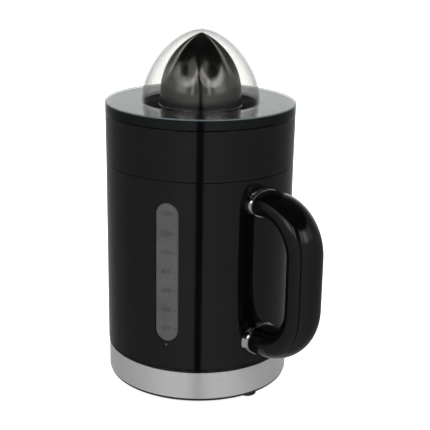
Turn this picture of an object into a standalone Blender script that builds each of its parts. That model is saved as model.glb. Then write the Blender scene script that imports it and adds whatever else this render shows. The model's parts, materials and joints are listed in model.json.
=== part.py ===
"""Citrus press juicer: a motor base, a jug that drops over its motor tower, and a juicing head.

Design dimensions are in millimetres; the meshes are made in metres, +Z up. The handle points to +X.
The origin is under the middle of the machine's outline, on the surface that it stands on.
"""
import math

import bmesh
import bpy
from mathutils import Matrix, Vector

MM = 0.001

# ---------------------------------------------------------------- driving dimensions
GAP = 0.3                    # between pieces that touch
LID_R = 76.4                 # the widest round of the body
HANDLE_R = 121.3             # body axis to the middle of the grip
HANDLE_DEPTH = 12.1          # half of the grip's section, across the palm
HANDLE_WIDTH = 15.6          # half of the grip's section, side to side
TOP_Z = 289.5                # tip of the dome
AXIS_X = -(HANDLE_R + HANDLE_DEPTH - LID_R) / 2
WINDOW_AZIMUTH = -60.0       # degrees from the handle
GLAND_AZIMUTH = 180.0
GLAND_Z = 16.0

FOOT_AZIMUTHS = (-3.0, 117.0, 237.0)
FOOT_H = 2.8
COVER_TOP_Z = 5.2
BAND_Z = (5.5, 27.8)
BAND_R = 75.1
BASE_RIM_Z = (28.1, 30.2)
PLINTH_TOP_Z = 42.4
TOWER_TOP_Z = 151.0
TOWER_R = 29.5
WALL = 2.2

JUG_Z = (30.6, 183.9)
JUG_R = (75.7, 76.0)         # at the bottom and at the top
JUG_WALL = 2.4
JUG_FLOOR_Z = 47.0
SLEEVE_R = 34.0
SLEEVE_TOP_Z = 172.0
COLLECTOR_Z = (184.2, 223.7)
COLLECTOR_R = 76.3
LID_Z = (224.0, 232.5)
DOME_R = 47.35
DOME_WALL = 1.2
SKIRT_WALL = 1.2             # the clear skirt of the lid, round the strainer's rim
CONE_R = 32.9
CONE_Z = 228.5
CONE_H = 57.7
CONE_RIBS = 8

WINDOW_HALF = 9.5
WINDOW_Z = (53.7, 167.3)
LIMB_Z = (51.2, 164.3)       # middle of the handle's lower and upper ends
LIMB_RISE = (5.0, 10.0)      # degrees that the lower and upper limbs rise on their way out
LIMB_DEPTH = (12.1, 10.3)    # half of the handle's depth at its lower and upper ends
BEND_R = (37.0, 34.5)        # lower and upper bend of the handle, on its middle line
GRIP_END_R = 82.0            # body axis to the flat ends of the handle
TAPER = 0.3                  # share of the handle's length over which each end's depth changes
RING_MORE = 0.5              # how far the chrome rings stand proud of the handle's ends
SCREW_Z = (52.4, 164.3)      # heights of the screws that hold the handle

GEAR_CENTRES = 13.5          # output axis to idler axis
PINION_TEETH, WHEEL_TEETH = 10, 30
SMALL_TEETH, OUTPUT_TEETH = 12, 28
IDLER_AZIMUTH = 180.0

LARGE = 32                   # segments round the body
MEDIUM = 20
SMALL = 8


# ---------------------------------------------------------------- materials
def material(name, colour, roughness, metallic=0.0, alpha=1.0):
    """A Principled material of one colour, made once for each name."""
    made = bpy.data.materials.get(name)
    if made is None:
        made = bpy.data.materials.new(name)
        made.use_nodes = True
        shader = made.node_tree.nodes["Principled BSDF"]
        shader.inputs["Base Color"].default_value = (*colour, 1.0)
        shader.inputs["Roughness"].default_value = roughness
        shader.inputs["Metallic"].default_value = metallic
        shader.inputs["Alpha"].default_value = alpha
        made.diffuse_color = (*colour, alpha)
    return made


FINISHES = {
    "black_gloss": ((0.012, 0.012, 0.013), 0.12),
    "black_satin": ((0.02, 0.02, 0.021), 0.42),
    "brushed_steel": ((0.52, 0.52, 0.51), 0.34, 1.0),
    "polished_steel": ((0.40, 0.40, 0.41), 0.14, 1.0),
    "chrome": ((0.82, 0.82, 0.83), 0.06, 1.0),
    "clear": ((0.80, 0.84, 0.85), 0.05, 0.0, 0.35),
    "smoke": ((0.22, 0.22, 0.23), 0.35, 0.0, 0.8),
    "rubber": ((0.03, 0.03, 0.03), 0.8),
    "zinc": ((0.55, 0.56, 0.58), 0.4, 1.0),
    "bronze": ((0.45, 0.30, 0.16), 0.45, 1.0),
    "laminations": ((0.28, 0.28, 0.30), 0.5, 1.0),
    "copper": ((0.60, 0.27, 0.13), 0.35, 1.0),
    "nylon": ((0.78, 0.77, 0.72), 0.5),
    "red_plastic": ((0.45, 0.05, 0.04), 0.45),
}


def finish(name):
    """The material of one of the named finishes."""
    return material(name, *FINISHES[name])


# ---------------------------------------------------------------- mesh helpers
def clear_scene():
    for old in list(bpy.data.objects):
        bpy.data.objects.remove(old, do_unlink=True)


def pivot(name, x, y=0.0):
    """An empty on a joint's axis, which carries the pieces that turn or slide on it."""
    empty = bpy.data.objects.new(name, None)
    empty.location = Vector((x, y, 0.0)) * MM
    bpy.context.collection.objects.link(empty)
    return empty


def place(name, bm, finish_name, parent, at=(0.0, 0.0, 0.0), sharp=35.0):
    """Turn a bmesh in millimetres into a named object in metres, under its parent."""
    bmesh.ops.remove_doubles(bm, verts=bm.verts, dist=0.001)
    bmesh.ops.recalc_face_normals(bm, faces=bm.faces)
    bmesh.ops.transform(bm, matrix=Matrix.Scale(MM, 4), verts=bm.verts)
    mesh = bpy.data.meshes.new(name)
    bm.to_mesh(mesh)
    bm.free()
    mesh.shade_smooth()
    mesh.set_sharp_from_angle(angle=math.radians(sharp))
    mesh.materials.append(finish(finish_name))
    made = bpy.data.objects.new(name, mesh)
    made.location = Vector(at) * MM
    made.parent = parent
    bpy.context.collection.objects.link(made)
    return made


def lathe_mesh(outline, segments):
    """Spin an outline of (radius, height) about Z; one that starts and ends on the axis closes there."""
    bm = bmesh.new()
    verts = [bm.verts.new((r, 0.0, z)) for r, z in outline]
    edges = [bm.edges.new(pair) for pair in zip(verts, verts[1:])]
    if outline[0][0] > 0 or outline[-1][0] > 0:
        edges.append(bm.edges.new((verts[-1], verts[0])))
    bmesh.ops.spin(bm, geom=verts + edges, cent=(0, 0, 0), axis=(0, 0, 1), angle=2 * math.pi,
                   steps=segments, use_merge=True, use_duplicate=False)
    return bm


def lathe(name, outline, finish_name, parent, segments=LARGE, at=(0.0, 0.0, 0.0), sharp=35.0):
    return place(name, lathe_mesh(outline, segments), finish_name, parent, at, sharp)


def disc_outline(radius, low, high, bore=0.0):
    """The outline of a disc, or of a ring where it has a bore."""
    return [(bore, low), (radius, low), (radius, high), (bore, high)]


def prism_mesh(outline, low, high, matrix=None):
    """Extrude a flat outline of (x, y) points from one height to the other."""
    bm = bmesh.new()
    face = bm.faces.new([bm.verts.new((x, y, low)) for x, y in outline])
    raised = bmesh.ops.extrude_face_region(bm, geom=[face])
    top = [item for item in raised["geom"] if isinstance(item, bmesh.types.BMVert)]
    bmesh.ops.translate(bm, verts=top, vec=(0, 0, high - low))
    if matrix is not None:
        bmesh.ops.transform(bm, matrix=matrix, verts=bm.verts)
    return bm


def prism(name, outline, low, high, finish_name, parent, at=(0.0, 0.0, 0.0), matrix=None):
    return place(name, prism_mesh(outline, low, high, matrix), finish_name, parent, at)


def ellipse(half_x, half_y, segments, turn=0.0):
    steps = [turn + 2 * math.pi * i / segments for i in range(segments)]
    return [(half_x * math.cos(a), half_y * math.sin(a)) for a in steps]


def circle(radius, segments):
    """A round outline turned half a step, so that no corner lies straight ahead of the X or Y axis."""
    return ellipse(radius, radius, segments, math.pi / segments)


def hexagon(radius):
    """The section of the drive shaft and its sockets, turned a little off the axes."""
    return ellipse(radius, radius, 6, math.radians(10.0))


def rectangle(x0, x1, y0, y1):
    return [(x0, y0), (x1, y0), (x1, y1), (x0, y1)]


def stadium(half_width, low, high, segments=6):
    """A slot outline: straight sides, round ends, its ends at low and high."""
    arcs = [(high - half_width, 0.0), (low + half_width, math.pi)]
    points = []
    for centre, start in arcs:
        for i in range(segments + 1):
            a = start + math.pi * i / segments
            points.append((half_width * math.cos(a), centre + half_width * math.sin(a)))
    return points


def radial_matrix(azimuth, height=0.0):
    """Local x runs round the body, local y up and local z outwards at an azimuth in degrees."""
    a = math.radians(azimuth)
    out = Vector((math.cos(a), math.sin(a), 0.0))
    round_ = Vector((-math.sin(a), math.cos(a), 0.0))
    turn = Matrix((round_, (0.0, 0.0, 1.0), out)).transposed().to_4x4()
    return Matrix.Translation((0.0, 0.0, height)) @ turn


def polar(radius, azimuth):
    a = math.radians(azimuth)
    return radius * math.cos(a), radius * math.sin(a)


def guide(name, bm, parent):
    """A hidden tool solid for a Boolean; it isn't part of the machine."""
    made = place(name, bm, "nylon", parent)
    made.hide_render = True
    made.display_type = 'WIRE'
    return made


def combine(target, operation, tools):
    """Cut or join hidden tool solids into a piece, each by its own exact Boolean."""
    for tool in tools:
        step = target.modifiers.new(f"{operation.lower()} {tool.name}", 'BOOLEAN')
        step.operation = operation
        step.solver = 'EXACT'
        step.object = tool
    return target


def bore(radius, segments):
    """The outline of a round hole whose flats, not its corners, lie at the radius."""
    return circle(radius / math.cos(math.pi / segments), segments)


def holes(name, radius, low, high, centres, parent, segments=SMALL):
    """Upright round cutters at (x, y) centres."""
    made = []
    for number, (x, y) in enumerate(centres, start=1):
        shift = Matrix.Translation((x, y, 0.0))
        bm = prism_mesh(bore(radius, segments), low, high, shift)
        made.append(guide(f"{name}_{number}", bm, parent))
    return made


def side_hole(name, radius, azimuth, height, inner, outer, parent, segments=SMALL):
    """A round cutter that lies along a radius of the body."""
    bm = prism_mesh(bore(radius, segments), inner, outer, radial_matrix(azimuth, height))
    return guide(name, bm, parent)


def screw(name, parent, head_r, head_h, shank_r, length, matrix):
    """A pan-head screw along local +Z: head from 0 to head_h, then its shank."""
    outline = [(0.0, 0.0), (head_r, 0.0), (head_r, head_h), (shank_r, head_h), (shank_r, length),
               (0.0, length)]
    bm = lathe_mesh(outline, SMALL)
    bmesh.ops.transform(bm, matrix=matrix, verts=bm.verts)
    return place(name, bm, "zinc", parent)


# ---------------------------------------------------------------- shared shapes
def jug_radius(height):
    """Outer radius of the jug's slightly tapered wall."""
    share = (height - JUG_Z[0]) / (JUG_Z[1] - JUG_Z[0])
    return JUG_R[0] + share * (JUG_R[1] - JUG_R[0])


def bell_points(radius, low, height, round_power, side_power, steps):
    """A bell profile from its foot up to its tip on the axis."""
    points = []
    for i in range(steps + 1):
        t = math.sin(math.pi / 2 * i / steps)
        r = radius * (1 - t ** round_power) ** (1 / side_power)
        points.append((r, low + height * t))
    return points


def gear_outline(teeth, module, phase):
    """Straight-sided teeth; their slack at the pitch circle keeps the mesh free at every angle."""
    pitch = 2 * math.pi / teeth
    pitch_r = teeth * module / 2
    root_r = pitch_r - 1.2 * module
    tip_r = pitch_r + 0.75 * module
    tooth = [(-0.25, root_r), (-0.09, tip_r), (0.09, tip_r), (0.25, root_r)]
    points = []
    for i in range(teeth):
        for share, r in tooth:
            a = phase + (i + share) * pitch
            points.append((r * math.cos(a), r * math.sin(a)))
    return points


# ---------------------------------------------------------------- base
def build_feet_and_cover(body):
    foot_r, stem_r, feet_at = 7.4, 2.6, 66.2
    screw_at = 61.0
    foot_outline = [(0.0, 0.0), (foot_r - 0.6, 0.0), (foot_r, 0.6), (foot_r, FOOT_H - GAP),
                    (stem_r, FOOT_H - GAP), (stem_r, COVER_TOP_Z + 1.2), (0.0, COVER_TOP_Z + 1.2)]
    feet = [polar(feet_at, azimuth) for azimuth in FOOT_AZIMUTHS]
    screws = [polar(screw_at, 45.0 + 90.0 * i) for i in range(4)]
    for number, (x, y) in enumerate(feet, start=1):
        lathe(f"foot_{number}", foot_outline, "rubber", body, 16, (x, y, 0.0))

    rim_r = 74.3
    outline = [(0.0, FOOT_H), (rim_r - 0.6, FOOT_H), (rim_r, FOOT_H + 0.6), (rim_r, COVER_TOP_Z),
               (71.3, COVER_TOP_Z), (71.3, 8.6), (69.5, 8.6), (69.5, COVER_TOP_Z), (0.0, COVER_TOP_Z)]
    cover = lathe("bottom_cover", outline, "black_satin", body)
    cutters = holes("foot_hole", stem_r + GAP, 0, 8, feet, body)
    cutters += holes("screw_hole", 1.7, 0, 8, screws, body)
    for i in range(6):
        slot = stadium(1.5, 14.0, 34.0, 3)
        turn = Matrix.Rotation(math.radians(60.0 * i + 30.0), 4, 'Z')
        cutters.append(guide(f"vent_{i + 1}", prism_mesh(slot, 0, 8, turn), body))
    combine(cover, 'DIFFERENCE', cutters)

    for number, (x, y) in enumerate(screws, start=1):
        matrix = Matrix.Translation((x, y, 1.0))
        screw(f"cover_screw_{number}", body, 3.2, 1.5, 1.25, 16.0, matrix)
    return screws


def build_housing(body, screws, plate_screws):
    wall_r = 74.1
    plinth_r = 70.5
    rim_r = 75.4
    deck_z = PLINTH_TOP_Z - WALL
    hub_hole_r = 11.0
    outline = [(wall_r, BAND_Z[0]), (wall_r, BASE_RIM_Z[0]), (rim_r, BASE_RIM_Z[0]),
               (rim_r, BASE_RIM_Z[1]), (plinth_r, BASE_RIM_Z[1]), (plinth_r, PLINTH_TOP_Z),
               (TOWER_R, PLINTH_TOP_Z), (TOWER_R, TOWER_TOP_Z), (hub_hole_r, TOWER_TOP_Z),
               (hub_hole_r, TOWER_TOP_Z - WALL), (TOWER_R - WALL, TOWER_TOP_Z - WALL),
               (TOWER_R - WALL, deck_z), (plinth_r - WALL, deck_z),
               (plinth_r - WALL, BASE_RIM_Z[0] - 0.1), (wall_r - WALL, BASE_RIM_Z[0] - 0.1),
               (wall_r - WALL, BAND_Z[0])]
    housing = lathe("base_housing", outline, "black_gloss", body)
    bosses = []
    for number, (x, y) in enumerate(screws, start=1):
        shift = Matrix.Translation((x, y, 0.0))
        bm = prism_mesh(circle(4.0, SMALL), COVER_TOP_Z + GAP, deck_z + 1.0, shift)
        bosses.append(guide(f"boss_{number}", bm, body))
    combine(housing, 'UNION', bosses)
    cutters = holes("pilot_hole", 1.55, 0, 20, screws, body)
    cutters += holes("plate_pilot", 1.5, deck_z - 5, PLINTH_TOP_Z - 0.8, plate_screws, body)
    cutters.append(side_hole("gland_hole", 5.4, GLAND_AZIMUTH, GLAND_Z, 60.0, 85.0, body, MEDIUM))
    combine(housing, 'DIFFERENCE', cutters)

    band_wall = 0.7
    outline = [(BAND_R - band_wall, BAND_Z[0]), (BAND_R, BAND_Z[0]), (BAND_R, BAND_Z[1]),
               (BAND_R - band_wall, BAND_Z[1])]
    band = lathe("base_band", outline, "brushed_steel", body)
    gland_cut = side_hole("band_gland_hole", 5.5, GLAND_AZIMUTH, GLAND_Z, 60.0, 85.0, body, MEDIUM)
    combine(band, 'DIFFERENCE', [gland_cut])

    gland_outline = [(3.4, 63.0), (5.0, 63.0), (6.5, 69.5), (6.5, 71.2), (5.0, 71.2), (5.0, 75.3),
                     (6.6, 75.3), (6.3, 76.2), (3.4, 76.2)]
    bm = lathe_mesh(gland_outline, 16)
    bmesh.ops.transform(bm, matrix=radial_matrix(GLAND_AZIMUTH, GLAND_Z), verts=bm.verts)
    place("cord_gland", bm, "rubber", body)


def build_motor(body, rotor, plate_screws):
    deck_z = PLINTH_TOP_Z - WALL
    plate_z = (deck_z - 2.8, deck_z - GAP)
    gearbox_z = (92.0, 94.5)
    plate_r, stator_r, bolt_at = 36.0, 22.5, 24.2
    shaft_r, bearing_r = 1.5, 4.0
    rotor_r = 12.8
    bolts = [polar(bolt_at, 90.0), polar(bolt_at, -90.0)]

    plate = lathe("motor_plate", disc_outline(plate_r, *plate_z), "zinc", body, MEDIUM)
    cutters = holes("plate_screw_hole", 1.6, 30, 50, plate_screws, body)
    cutters += holes("plate_bolt_hole", 1.5, 30, 50, bolts, body)
    cutters += holes("plate_bearing_hole", bearing_r + GAP, 30, 50, [(0.0, 0.0)], body)
    combine(plate, 'DIFFERENCE', cutters)
    for number, (x, y) in enumerate(plate_screws, start=1):
        matrix = Matrix.Translation((x, y, plate_z[0] - GAP - 1.5))
        screw(f"plate_screw_{number}", body, 3.0, 1.5, 1.2, 5.4, matrix)

    lathe("stator_core", disc_outline(stator_r, 52.0, 82.0, 13.3), "laminations", body, MEDIUM)
    lathe("lower_winding", disc_outline(21.0, 44.0, 51.7, 15.0), "copper", body, MEDIUM)
    lathe("upper_winding", disc_outline(21.0, 82.3, 89.5, 15.0), "copper", body, MEDIUM)
    for name, low, high in (("lower_bearing", 36.5, 42.5), ("upper_bearing", 90.6, 95.4)):
        lathe(name, disc_outline(bearing_r, low, high, shaft_r + GAP), "bronze", body, SMALL)
    for number, (x, y) in enumerate(bolts, start=1):
        matrix = Matrix.Translation((x, y, plate_z[0] - GAP - 1.5))
        screw(f"motor_bolt_{number}", body, 2.6, 1.5, 1.2, 62.0, matrix)

    lathe("rotor_core", disc_outline(rotor_r, 52.5, 81.5, shaft_r + GAP), "laminations", rotor, MEDIUM)
    module = 2 * GEAR_CENTRES / (PINION_TEETH + WHEEL_TEETH)
    shaft = prism("motor_shaft", circle(shaft_r, SMALL), 34.0, 100.0, "zinc", rotor)
    pinion = guide("pinion", prism_mesh(gear_outline(PINION_TEETH, module, 0.0), 96.5, 103.5), rotor)
    combine(shaft, 'UNION', [pinion])
    return gearbox_z, bolts


def build_gearbox(body, idler, output, gearbox_z, bolts):
    idler_x, idler_y = polar(GEAR_CENTRES, IDLER_AZIMUTH)
    pillars = [polar(22.5, a) for a in (60.0, 120.0, -120.0, -60.0)]
    capped = [pillars[0], pillars[2]]
    plate_r, axle_r = 26.6, 1.2
    cap_z = (116.0, 118.5)

    plate = lathe("gearbox_plate", disc_outline(plate_r, *gearbox_z), "zinc", body, MEDIUM)
    posts = []
    for number, (x, y) in enumerate(pillars, start=1):
        shift = Matrix.Translation((x, y, 0.0))
        bm = prism_mesh(circle(2.5, SMALL), gearbox_z[1] - 1, cap_z[0] - GAP, shift)
        posts.append(guide(f"pillar_{number}", bm, body))
    combine(plate, 'UNION', posts)
    cutters = holes("gearbox_bolt_hole", 1.5, 90, 96, bolts, body)
    cutters += holes("gearbox_bearing_hole", 4.3, 90, 96, [(0.0, 0.0)], body)
    cutters += holes("gearbox_axle_hole", axle_r + GAP, 90, 96, [(idler_x, idler_y)], body)
    cutters += holes("pillar_pilot", 1.2, 108, 120, capped, body)
    combine(plate, 'DIFFERENCE', cutters)

    cap = lathe("gearbox_cap", disc_outline(plate_r, *cap_z), "zinc", body, MEDIUM)
    cutters = holes("cap_hub_hole", 6.5, 110, 120, [(0.0, 0.0)], body, MEDIUM)
    cutters += holes("cap_axle_hole", axle_r + GAP, 110, 120, [(idler_x, idler_y)], body)
    cutters += holes("cap_screw_hole", 1.3, 110, 120, capped, body)
    combine(cap, 'DIFFERENCE', cutters)
    for number, (x, y) in enumerate(capped, start=1):
        flip = Matrix.Rotation(math.pi, 4, 'X')
        matrix = Matrix.Translation((x, y, cap_z[1] + GAP + 1.3)) @ flip
        screw(f"cap_screw_{number}", body, 2.2, 1.3, 0.9, 9.5, matrix)
    axle = [(0.0, gearbox_z[0] + 0.2), (axle_r, gearbox_z[0] + 0.2), (axle_r, cap_z[1] + 0.6),
            (0.0, cap_z[1] + 0.6)]
    lathe("idler_axle", axle, "zinc", body, SMALL, (idler_x, idler_y, 0.0))

    module = 2 * GEAR_CENTRES / (PINION_TEETH + WHEEL_TEETH)
    wheel = prism("idler_gear", gear_outline(WHEEL_TEETH, module, math.pi / WHEEL_TEETH),
                  97.5, 102.5, "nylon", idler)
    small = prism_mesh(gear_outline(SMALL_TEETH, module, math.pi / SMALL_TEETH), 101.5, 114.5)
    combine(wheel, 'UNION', [guide("idler_small", small, idler)])
    combine(wheel, 'DIFFERENCE', holes("idler_bore", axle_r + GAP, 90, 120, [(0.0, 0.0)], idler))

    gear = prism("output_gear", gear_outline(OUTPUT_TEETH, module, 0.0), 107.5, 113.5, "nylon", output)
    hub = prism_mesh(circle(6.0, MEDIUM), 112.5, 121.0)
    combine(gear, 'UNION', [guide("output_hub", hub, output)])
    socket = prism_mesh(hexagon(4.6), 100, 130)
    combine(gear, 'DIFFERENCE', [guide("output_bore", socket, output)])


def spring_mesh(coil_r, wire_r, low, high, turns, steps, sides):
    """A helical wire with flat ends, swept ring by ring."""
    bm = bmesh.new()
    rings = []
    count = turns * steps
    for i in range(count + 1):
        a = 2 * math.pi * i / steps
        z = low + wire_r + (high - low - 2 * wire_r) * i / count
        ring = []
        for k in range(sides):
            b = 2 * math.pi * k / sides
            r = coil_r + wire_r * math.cos(b)
            ring.append(bm.verts.new((r * math.cos(a), r * math.sin(a), z + wire_r * math.sin(b))))
        rings.append(ring)
    skin(bm, rings)
    return bm


def skin(bm, rings):
    """Join successive rings of vertices with faces and cap both ends."""
    sides = len(rings[0])
    for lower, upper in zip(rings, rings[1:]):
        for k in range(sides):
            n = (k + 1) % sides
            bm.faces.new((lower[k], lower[n], upper[n], upper[k]))
    bm.faces.new(list(reversed(rings[0])))
    bm.faces.new(rings[-1])


def build_coupling(body, output, coupling, plunger):
    flange_z = (131.0, 133.5)
    cup_top_z = TOWER_TOP_Z + 6.0
    stem = prism("drive_coupling", hexagon(4.2), 110.0, flange_z[0] + 1.0, "nylon", coupling)
    cup = [(0.0, flange_z[0]), (12.5, flange_z[0]), (12.5, flange_z[1]), (8.0, flange_z[1]),
           (8.0, cup_top_z), (0.0, cup_top_z)]
    combine(stem, 'UNION', [guide("coupling_cup", lathe_mesh(cup, MEDIUM), coupling)])
    socket = prism_mesh(hexagon(4.6), 136.0, cup_top_z + 5)
    combine(stem, 'DIFFERENCE', [guide("coupling_socket", socket, coupling)])

    spring = spring_mesh(6.9, 0.45, 121.4, flange_z[0] - 0.4, 4, 10, 4)
    place("return_spring", spring, "zinc", output)

    case_z = (119.2, 128.0)
    case = prism("microswitch", rectangle(8.6, 20.0, -3.4, 3.4), *case_z, "red_plastic", body)
    hole = holes("plunger_hole", 1.5, 121.5, 135.0, [(10.9, 0.0)], body)
    combine(case, 'DIFFERENCE', hole)
    prism("switch_plunger", circle(1.2, SMALL), 124.6, flange_z[0] - GAP, "nylon", plunger,
          (10.9, 0.0, 0.0))


# ---------------------------------------------------------------- jug
def smooth(share):
    """Ease a share from 0 to 1, flat at both ends."""
    share = min(1.0, max(0.0, share))
    return share * share * (3.0 - 2.0 * share)


def handle_path(steps=6):
    """Middle line of the handle from its lower end to its upper end, as (radius, height, direction)."""
    rise = [math.radians(angle) for angle in LIMB_RISE]
    centre_r = [HANDLE_R - bend for bend in BEND_R]
    start_r = centre_r[0] + BEND_R[0] * math.sin(rise[0])
    low_z = LIMB_Z[0] + (start_r - GRIP_END_R) * math.tan(rise[0]) + BEND_R[0] * math.cos(rise[0])
    end_r = centre_r[1] - BEND_R[1] * math.sin(rise[1])
    high_z = LIMB_Z[1] + (end_r - GRIP_END_R) * math.tan(rise[1]) - BEND_R[1] * math.cos(rise[1])
    path = [(GRIP_END_R, LIMB_Z[0], 0.0)]
    for i in range(steps + 1):
        a = rise[0] + (math.pi / 2 - rise[0]) * i / steps
        path.append((centre_r[0] + BEND_R[0] * math.sin(a), low_z - BEND_R[0] * math.cos(a), a))
    for i in range(steps + 1):
        a = math.pi / 2 + (math.pi / 2 + rise[1]) * i / steps
        path.append((centre_r[1] + BEND_R[1] * math.sin(a), high_z - BEND_R[1] * math.cos(a), a))
    path.append((GRIP_END_R, LIMB_Z[1], math.pi))
    return path


def handle_mesh(sides=16):
    """An oval section swept along the handle; its depth changes towards each end."""
    path = handle_path()
    runs = [math.dist(a[:2], b[:2]) for a, b in zip(path, path[1:])]
    length = sum(runs)
    bm = bmesh.new()
    rings = []
    for number, (r, z, a) in enumerate(path):
        share = sum(runs[:number]) / length
        depth = HANDLE_DEPTH + (LIMB_DEPTH[0] - HANDLE_DEPTH) * smooth(1 - share / TAPER)
        depth += (LIMB_DEPTH[1] - HANDLE_DEPTH) * smooth(1 - (1 - share) / TAPER)
        ring = []
        for k in range(sides):
            b = 2 * math.pi * k / sides
            off = depth * math.cos(b)
            ring.append(bm.verts.new((r + off * math.sin(a), HANDLE_WIDTH * math.sin(b),
                                      z - off * math.cos(a))))
        rings.append(ring)
    skin(bm, rings)
    return bm


def build_jug(jug):
    bottom, top = JUG_Z
    floor_low = JUG_FLOOR_Z - WALL
    inner_low = JUG_R[0] - JUG_WALL
    inner_top = JUG_R[1] - JUG_WALL
    outline = [(JUG_R[0] - 0.5, bottom), (JUG_R[0], bottom + 0.5), (JUG_R[1], top - 0.5),
               (JUG_R[1] - 0.5, top), (inner_top, top), (inner_low, JUG_FLOOR_Z),
               (SLEEVE_R, JUG_FLOOR_Z), (SLEEVE_R, SLEEVE_TOP_Z), (SLEEVE_R - WALL, SLEEVE_TOP_Z),
               (SLEEVE_R - WALL, floor_low), (inner_low - GAP, floor_low), (inner_low - GAP, bottom)]
    body = lathe("jug_body", outline, "black_gloss", jug)
    window_frame = radial_matrix(WINDOW_AZIMUTH)
    opening = prism_mesh(stadium(WINDOW_HALF, *WINDOW_Z), 60.0, 90.0, window_frame)
    cutters = [guide("window_opening", opening, jug)]
    for name, z in zip(("lower", "upper"), SCREW_Z):
        cutters.append(side_hole(f"{name}_wall_hole", 2.3, 0.0, z, 60.0, 90.0, jug))
    combine(body, 'DIFFERENCE', cutters)

    flange_more = 2.6
    pane = lathe("level_window", disc_outline(75.5, 40.0, 180.0, 72.0), "smoke", jug)
    low, high = WINDOW_Z[0] + GAP, WINDOW_Z[1] - GAP
    plate = prism_mesh(stadium(WINDOW_HALF - GAP, low, high), 60.0, 90.0, window_frame)
    combine(pane, 'INTERSECT', [guide("pane_outline", plate, jug)])
    flange = guide("window_flange", lathe_mesh(disc_outline(73.0, 40.5, 180.5, 71.2), LARGE), jug)
    edge = stadium(WINDOW_HALF + flange_more, low - flange_more, high + flange_more)
    combine(flange, 'INTERSECT', [guide("flange_outline", prism_mesh(edge, 60.0, 90.0, window_frame), jug)])
    combine(pane, 'UNION', [flange])

    grip = place("handle", handle_mesh(), "black_gloss", jug)
    wall = [(0.0, bottom), (jug_radius(bottom) + GAP, bottom), (jug_radius(top) + GAP, top), (0.0, top)]
    wall_tool = guide("wall_tool", lathe_mesh(wall, LARGE), jug)
    for name, limb_z, z, depth in zip(("lower", "upper"), LIMB_Z, SCREW_Z, LIMB_DEPTH):
        frame = radial_matrix(0.0, z)
        combine(grip, 'DIFFERENCE', [side_hole(f"{name}_grip_hole", 2.3, 0.0, z, 70.0, 96.0, jug)])
        outer = GRIP_END_R - GAP
        ring = prism(f"{name}_handle_ring", ellipse(HANDLE_WIDTH + RING_MORE, depth + RING_MORE, 20),
                     70.0, outer, "chrome", jug, matrix=radial_matrix(0.0, limb_z))
        ring_hole = side_hole(f"{name}_ring_hole", 2.4, 0.0, z, 60.0, 90.0, jug)
        combine(ring, 'DIFFERENCE', [wall_tool, ring_hole])
        seal = lathe_mesh(disc_outline(4.4, 71.4, 72.7, 2.4), SMALL)
        bmesh.ops.transform(seal, matrix=frame, verts=seal.verts)
        place(f"{name}_handle_seal", seal, "rubber", jug)
        screw(f"{name}_handle_screw", jug, 4.0, 2.0, 2.0, 26.0,
              frame @ Matrix.Translation((0.0, 0.0, 69.0)))


# ---------------------------------------------------------------- juicing head
def build_collector(collector):
    low, high = COLLECTOR_Z
    ledge_z = 218.4
    inner = COLLECTOR_R - JUG_WALL
    tube_r = (17.6, 20.0)
    floor_in, floor_out = 199.0, 193.0
    outline = [(JUG_R[1], low), (COLLECTOR_R, high - 0.5), (COLLECTOR_R - 0.5, high), (inner, high),
               (inner - 0.05, ledge_z), (71.6, ledge_z), (71.6, 216.2), (inner - 0.1, 214.4),
               (inner - 0.3, 194.0), (64.0, floor_out), (tube_r[1], floor_in), (tube_r[1], 210.0),
               (tube_r[0], 210.0), (tube_r[0], 190.0), (tube_r[1], 190.0),
               (tube_r[1], floor_in - WALL), (64.0, floor_out - WALL), (70.6, floor_out - WALL),
               (70.6, 178.0), (73.0, 178.0), (73.0, low)]
    body = lathe("collector", outline, "black_gloss", collector)
    cutters = []
    for i in range(6):
        turn = Matrix.Rotation(math.radians(60.0 * i + 30.0), 4, 'Z')
        drain = prism_mesh(rectangle(52.0, 60.0, -9.0, 9.0), 185.0, 197.0, turn)
        cutters.append(guide(f"drain_{i + 1}", drain, collector))
    combine(body, 'DIFFERENCE', cutters)


def build_strainer(strainer, bush):
    deck_r = 33.0
    tube_r = (10.4, 13.0)
    floor_z = 208.2
    seat_r = COLLECTOR_R - JUG_WALL - 0.4
    rim_r = LID_R - SKIRT_WALL - GAP
    rim_low, rim_high = LID_Z[0], LID_Z[1] - DOME_WALL - GAP
    outline = [(seat_r, 218.8), (seat_r, rim_low), (rim_r, rim_low), (rim_r, rim_high),
               (72.2, rim_high), (72.2, 221.5), (70.0, 219.5), (68.6, floor_z), (deck_r + 3.0, floor_z),
               (deck_r, 224.4), (tube_r[0], 226.2), (tube_r[0], 196.0), (tube_r[1], 196.0),
               (tube_r[1], 223.9), (deck_r - 2.0, 222.3), (deck_r + 1.2, floor_z - 2.0),
               (70.4, floor_z - 2.0), (71.2, 218.8)]
    body = lathe("strainer", outline, "black_satin", strainer)
    cutters = []
    slots = 20
    for i in range(slots):
        turn = Matrix.Rotation(2 * math.pi * (i + 0.5) / slots, 4, 'Z')
        slot = prism_mesh(rectangle(41.0, 65.0, -1.0, 1.0), 204.0, 211.0, turn)
        cutters.append(guide(f"strainer_slot_{i + 1}", slot, strainer))
    combine(body, 'DIFFERENCE', cutters)
    lathe("thrust_bush", disc_outline(10.0, 199.0, 228.8, 4.7), "nylon", bush, MEDIUM)


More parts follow.
